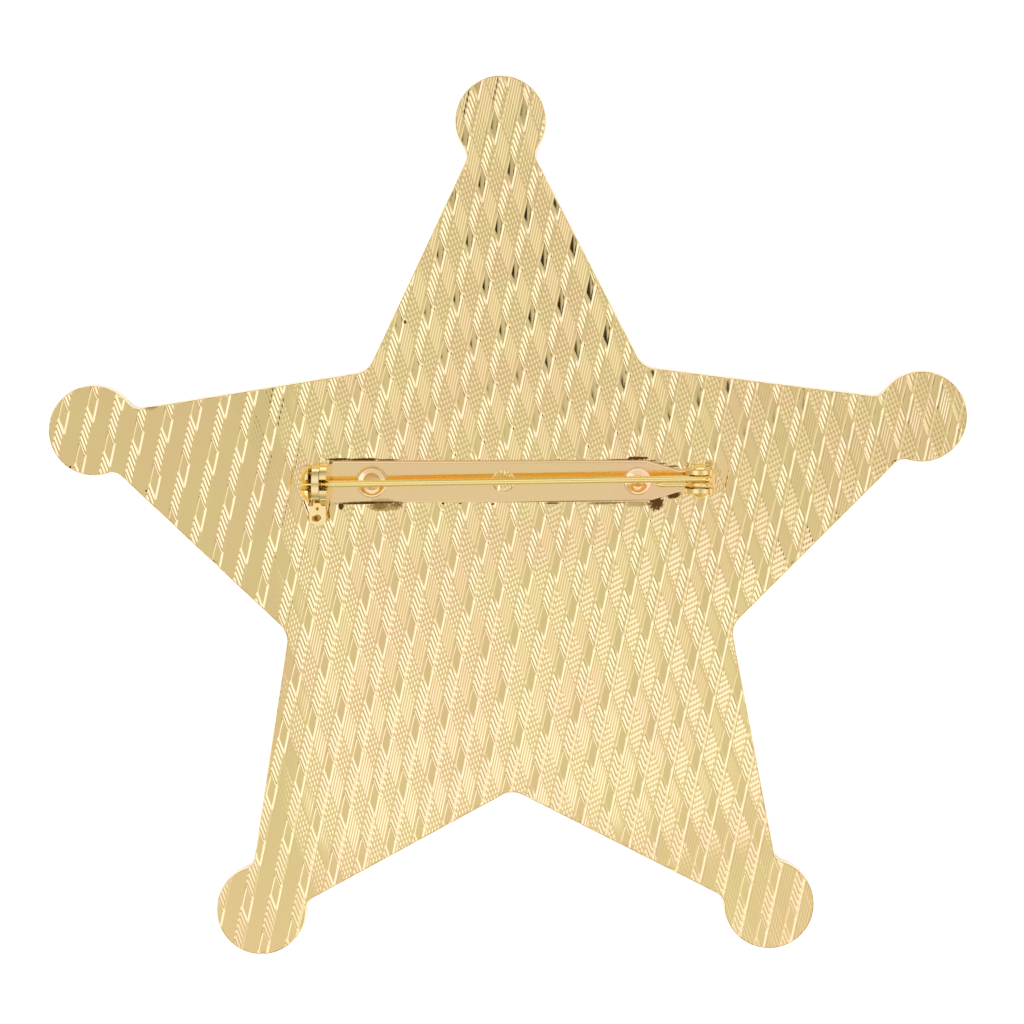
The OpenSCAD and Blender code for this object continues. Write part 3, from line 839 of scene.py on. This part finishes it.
def buildCheeks():
    # both have a bore for the hubs, and a slot that opens upwards for the pin. The domed one is a cap of a
    # sphere, (R sin t, outer face - R + R cos t)
    r, slot = catch["cheekR"], catch["slot"] / 2
    cuts = [rod(catch["hubR"] + gap["running"], -domedIn - catch["boreL"], flatIn + catch["boreL"]),
            rod(slot, -beyond, beyond, 48), box((-beyond, -slot, 0), (beyond, slot, beyond))]
    flatOut, domedOut = flatIn + catch["flatT"], domedIn + catch["domedT"]
    flat = [rod(r, flatIn, flatOut, 96), cheekFoot(flatIn, flatOut)]
    domeR = (r**2 + catch["domedT"] ** 2) / (2 * catch["domedT"])
    turns = np.linspace(0, asin(r / domeR) * 0.97, 16)
    profile = [(domeR * sin(t), domedOut - domeR + domeR * cos(t)) for t in turns]
    profile += [(r, domedIn + 0.03), (r - 0.03, domedIn), (0, domedIn)]
    dome = placed(solid([lathe(profile, 96)]), turned("Y", -90))
    domed = [dome, cheekFoot(-domedIn - catch["domedT"] / 2, -domedIn)]
    for name, add in (("flat", flat), ("domed", domed)):
        chunks = [atCatch(c) for c in add], [atCatch(c) for c in cuts]
        carved("catch_cheek_" + name, *chunks, "badge", hingeGold, "gold_plate", catch[name + "Round"])


def lever():
    # it points along y: as narrow as the band between the cheeks, then broad with a round end
    w, e, r = catch["bandW"] / 2, catch["endR"], catch["channelR"]
    broad, end = catch["cheekR"] + catch["clear"], catch["leverL"] + catch["endR"]
    half = [(w, r, 0.02), (w, broad, 0.1), (e, broad + 0.05, 0.12), (e, end, e * 0.98)]
    mirrored = [(-x, y, k) for x, y, k in half]
    outline, _ = cornered(mirrored[:1] + half + mirrored[:0:-1], 8)
    return slab(outline, -catch["leverT"] / 2, catch["leverT"] / 2, alongZ)


def leverCuts():
    # a dimple with a rounded bottom, from the back, and a small hole
    t, r, holeR = catch["leverT"] / 2, catch["dimple"] / 2, catch["holeD"] / 2
    dimple = [(0, -t - 0.4), (r, -t - 0.4), (r, -t + 0.08), (0.2, -t + 0.17), (0.1, -t + 0.2), (0, -t + 0.2)]
    hole = [(0, -0.5), (holeR, -0.5), (holeR, 0.5), (0, 0.5)]
    return [solid([placed(lathe(profile, count), None, (0, at, 0))])
            for profile, count, at in ((dimple, 32, catch["leverL"]), (hole, 24, catch["holeAt"]))]


def buildBand():
    # a disc with its hubs and lever, less the pin's channel, its mouth and the hubs' upper halves
    w, r, far = catch["bandW"] / 2, catch["channelR"], beyond
    band = rod(catch["bandR"], -w, w, 96)
    hubs = rod(catch["hubR"], -domedIn - catch["hubL"], flatIn + catch["hubL"])
    spin = turned("X", catch["lever"])
    channel = rod(r, -far, far, 48)
    mouth = placed(box((-far, 0, -r), (far, far, r)), turned("X", catch["mouth"]))
    over = [box((-far, -r, 0), (-w, r, far)), box((w, -r, 0), (far, r, far))]
    add = [band, hubs, placed(lever(), spin)]
    cuts = [channel, mouth] + over + [placed(c, spin) for c in leverCuts()]
    chunks = [atCatch(c) for c in add], [atCatch(c) for c in cuts]
    piece = carved("catch_band", *chunks, "catch", catchGold, "gold_catch", catch["bandRound"])
    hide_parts("catch_lever")


# Floor, studio, lamp and camera

floor = dict(half=2.0, z=-0.00002, tone=0.92, rough=0.9, specular=0.1)
# The studio's tone by direction. Each entry is where a change begins and ends along x, y or z of the
# direction (or of the distance or tone), and the values before and after it. The first four are where a
# patch begins and ends, over a soft edge. A reflection leans by about 57 degrees per unit of x or y.
studio = dict(
    nearX=(-0.25, 0.34), nearY=(-0.24, 0.17), asideX=(0.27, 0.62), asideY=(-0.03, 0.27, 0.03), soft=0.04,
    dimUp=(-0.03, 0.1, 0.68, 0.54), dimDown=(-0.22, -0.1, 1.14, 1.0),
    paleFrom=(0.11, 0.19, 0.0, 0.03), paleTo=(0.33, 0.38, 1.0, 0.0),
    leftBoxX=(-0.31, -0.25, 0.33, 0.0), leftBoxY=(-0.06, -0.025, 1.0, 0.0),
    leftBoxLow=(-0.33, -0.24, 0.0, 1.0), rightBoxX=(0.36, 0.41, 0.0, 0.3), rightBoxY=(-0.06, -0.03, 1.0, 0.0),
    lens=(-0.0046, 0.0335, 1.0), lensEdge=(0.045, 0.049, 0.015, 1.0), lensHalo=(0.05, 0.1, 0.92, 1.0),
    horizon=(0.25, 0.8, 0.42, 1.0), cool=(0.75, 1.25, 1.0, 1.42))
lamp = dict(size=0.8, z=0.9, watts=7.0)
camera = dict(lens=105.3, sensor=36, near=0.01, turn=(("Y", -1.6263), ("X", 2.9038), ("Z", 0.9247)),
              away=(0.0002819, 0.0037639, 0.25))


def buildFloor():
    h, z = floor["half"], floor["z"]
    mesh = bpy.data.meshes.new("floor")
    mesh.from_pydata([(-h, -h, z), (h, -h, z), (h, h, z), (-h, h, z)], [], [(0, 1, 2, 3)])
    ground = addObject("floor", mesh)
    pale = bpy.data.materials.new("floorPale")
    pale.use_nodes = True
    shader = pale.node_tree.nodes["Principled BSDF"]
    shader.inputs["Base Color"].default_value = (floor["tone"], floor["tone"], floor["tone"], 1)
    shader.inputs["Roughness"].default_value = floor["rough"]
    shader.inputs["Specular IOR Level"].default_value = floor["specular"]
    mesh.materials.append(pale)


def buildWorld():
    world = bpy.data.worlds.new("studio")
    bpy.context.scene.world = world
    world.use_nodes = True
    tree = world.node_tree
    direction = tree.nodes.new("ShaderNodeTexCoord").outputs["Generated"]
    x, y, z = fed(tree, "ShaderNodeSeparateXYZ", i0=direction).outputs

    def times(*values):
        return calc(tree, "MULTIPLY", *values)

    def plus(*values):
        return calc(tree, "ADD", *values)

    def step(value, title):
        return mapped(tree, value, *studio[title])

    def within(value, low, high, soft=studio["soft"]):
        return times(mapped(tree, value, low - soft, low), mapped(tree, value, high, high + soft, 1.0, 0.0))

    # dim overhead, where the plain faces look, paler on its right and dim again further up on the right
    near = times(within(x, *studio["nearX"]), within(y, *studio["nearY"]))
    aside = times(within(x, *studio["asideX"]), within(y, *studio["asideY"]))
    dim = calc(tree, "MAXIMUM", near, aside)
    dimTone = times(step(y, "dimUp"), step(y, "dimDown"))
    dimTone = plus(dimTone, times(step(x, "paleFrom"), step(x, "paleTo")))
    # two soft boxes, low on the left and on the right
    leftBox = times(times(step(x, "leftBoxX"), step(y, "leftBoxY")), step(y, "leftBoxLow"))
    rightBox = times(step(x, "rightBoxX"), step(y, "rightBoxY"))
    room = plus(plus(leftBox, rightBox), 1.0)
    tone = plus(times(dim, dimTone), times(calc(tree, "SUBTRACT", 1.0, dim), room))
    # the dark lens, seen in the plain diamonds of the upper arm
    lens = vector(tree, "DISTANCE", direction, Vector(studio["lens"]).normalized())
    tone = times(times(tone, step(lens, "lensEdge")), step(lens, "lensHalo"))
    # darker towards the horizon, and bluer where it is bright
    tone = times(tone, step(z, "horizon"))
    colour = fed(tree, "ShaderNodeCombineColor", i0=tone, i1=tone, i2=times(tone, step(tone, "cool")))
    background = tree.nodes["Background"]
    tree.links.new(colour.outputs[0], background.inputs["Color"])
    background.inputs["Strength"].default_value = 1


def buildLamp():
    # a large soft lamp for the floor alone
    light = bpy.data.lights.new("overhead", "AREA")
    light.shape = "SQUARE"
    light.size = lamp["size"]
    light.energy = lamp["watts"]
    over = addObject("overhead", light)
    over.location = (0, 0, lamp["z"])
    over.visible_camera = False
    over.visible_glossy = False


def buildCamera():
    # the badge, turned and moved away, as the camera sees it: the inverse places the camera
    data = bpy.data.cameras.new("camera")
    data.lens = camera["lens"]
    data.sensor_width = camera["sensor"]
    data.clip_start = camera["near"]
    eye = addObject("camera", data)
    first, second, third = [Matrix.Rotation(radians(angle), 4, axis) for axis, angle in camera["turn"]]
    eye.matrix_world = (first @ second @ third).inverted() @ Matrix.Translation(camera["away"])
    bpy.context.scene.camera = eye
    bpy.context.scene.view_settings.view_transform = "Standard"


print("materials")
groups = dict(spot=tornSpot(), tone=gildedTone(), marks=wipeMarks())
# plate and bar: solder soot and painted shade along the bar's edges; catch: painted reflection and shade in
# its dimple
plateGold = goldMaterial("plateGold", stainsAndShade=plateSootAndShade, height=star["thick"], deep=stainAndShadeReach,
                         **gold["plate"])
barGold = goldMaterial("barGold", stainsAndShade=barSootAndShade, **gold["bar"])
hingeGold = goldMaterial("hingeGold", **gold["hinge"])
wireGold = goldMaterial("wireGold", **gold["wire"])
catchGold = goldMaterial("catchGold", stainsAndShade=catchShadeAndReflection, **gold["catch"])

print("star plate and pin bar")
buildStar()
buildBar()
print("hinge and wire")
buildEars()
buildRivet()
buildWire()
print("catch")
buildCheeks()
buildBand()
print("floor, studio, lamp and camera")
buildFloor()
buildWorld()
buildLamp()
buildCamera()
